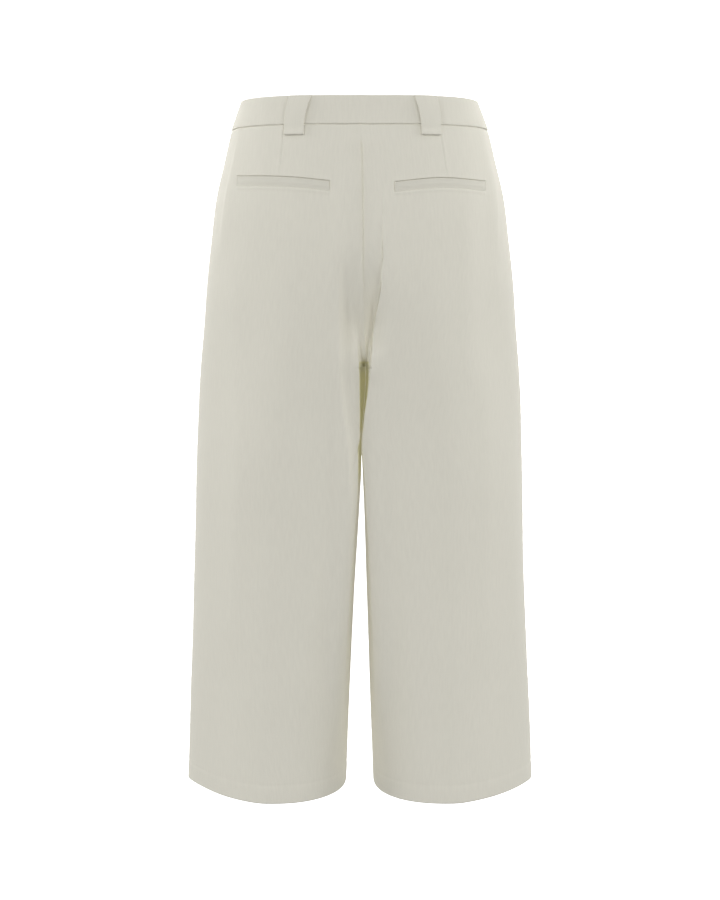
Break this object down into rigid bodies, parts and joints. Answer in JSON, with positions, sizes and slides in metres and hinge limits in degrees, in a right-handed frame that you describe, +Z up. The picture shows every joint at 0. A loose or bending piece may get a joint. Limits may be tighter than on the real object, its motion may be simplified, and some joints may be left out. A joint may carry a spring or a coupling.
{
  "type": "culottes",
  "caption": "Wide-leg culottes standing out full and hollow as worn, with a shaped waistband, belt loops, back welt pockets, a buttoned front fly and turned-up hems.",
  "frame": {"origin": "centre of the waist opening, level with the top edge of the waistband, where a wearer's waist holds the garment", "axes": "+Z up out of the waist, -Y the garment's back, which the picture shows, +Y its front, +X the wearer's right"},
  "size_m": [0.3752, 0.2382, 0.7357],
  "materials": {
    "crepe": "matte fine crepe twill, pale sage cream",
    "button": "satin, dyed to match the cloth",
    "zip_tape": "plain woven tape with a fine moulded chain"
  },
  "bodies": {
    "root": {"back_left": "crepe", "back_right": "crepe", "front_left": "crepe", "front_right": "crepe", "waistband": "crepe", "loop_back_left": "crepe", "loop_back_right": "crepe", "loop_front_left": "crepe", "loop_front_right": "crepe", "welt_left": "crepe", "welt_right": "crepe", "button": "button", "fly_zip": "zip_tape"}
  },
  "joints": []
}
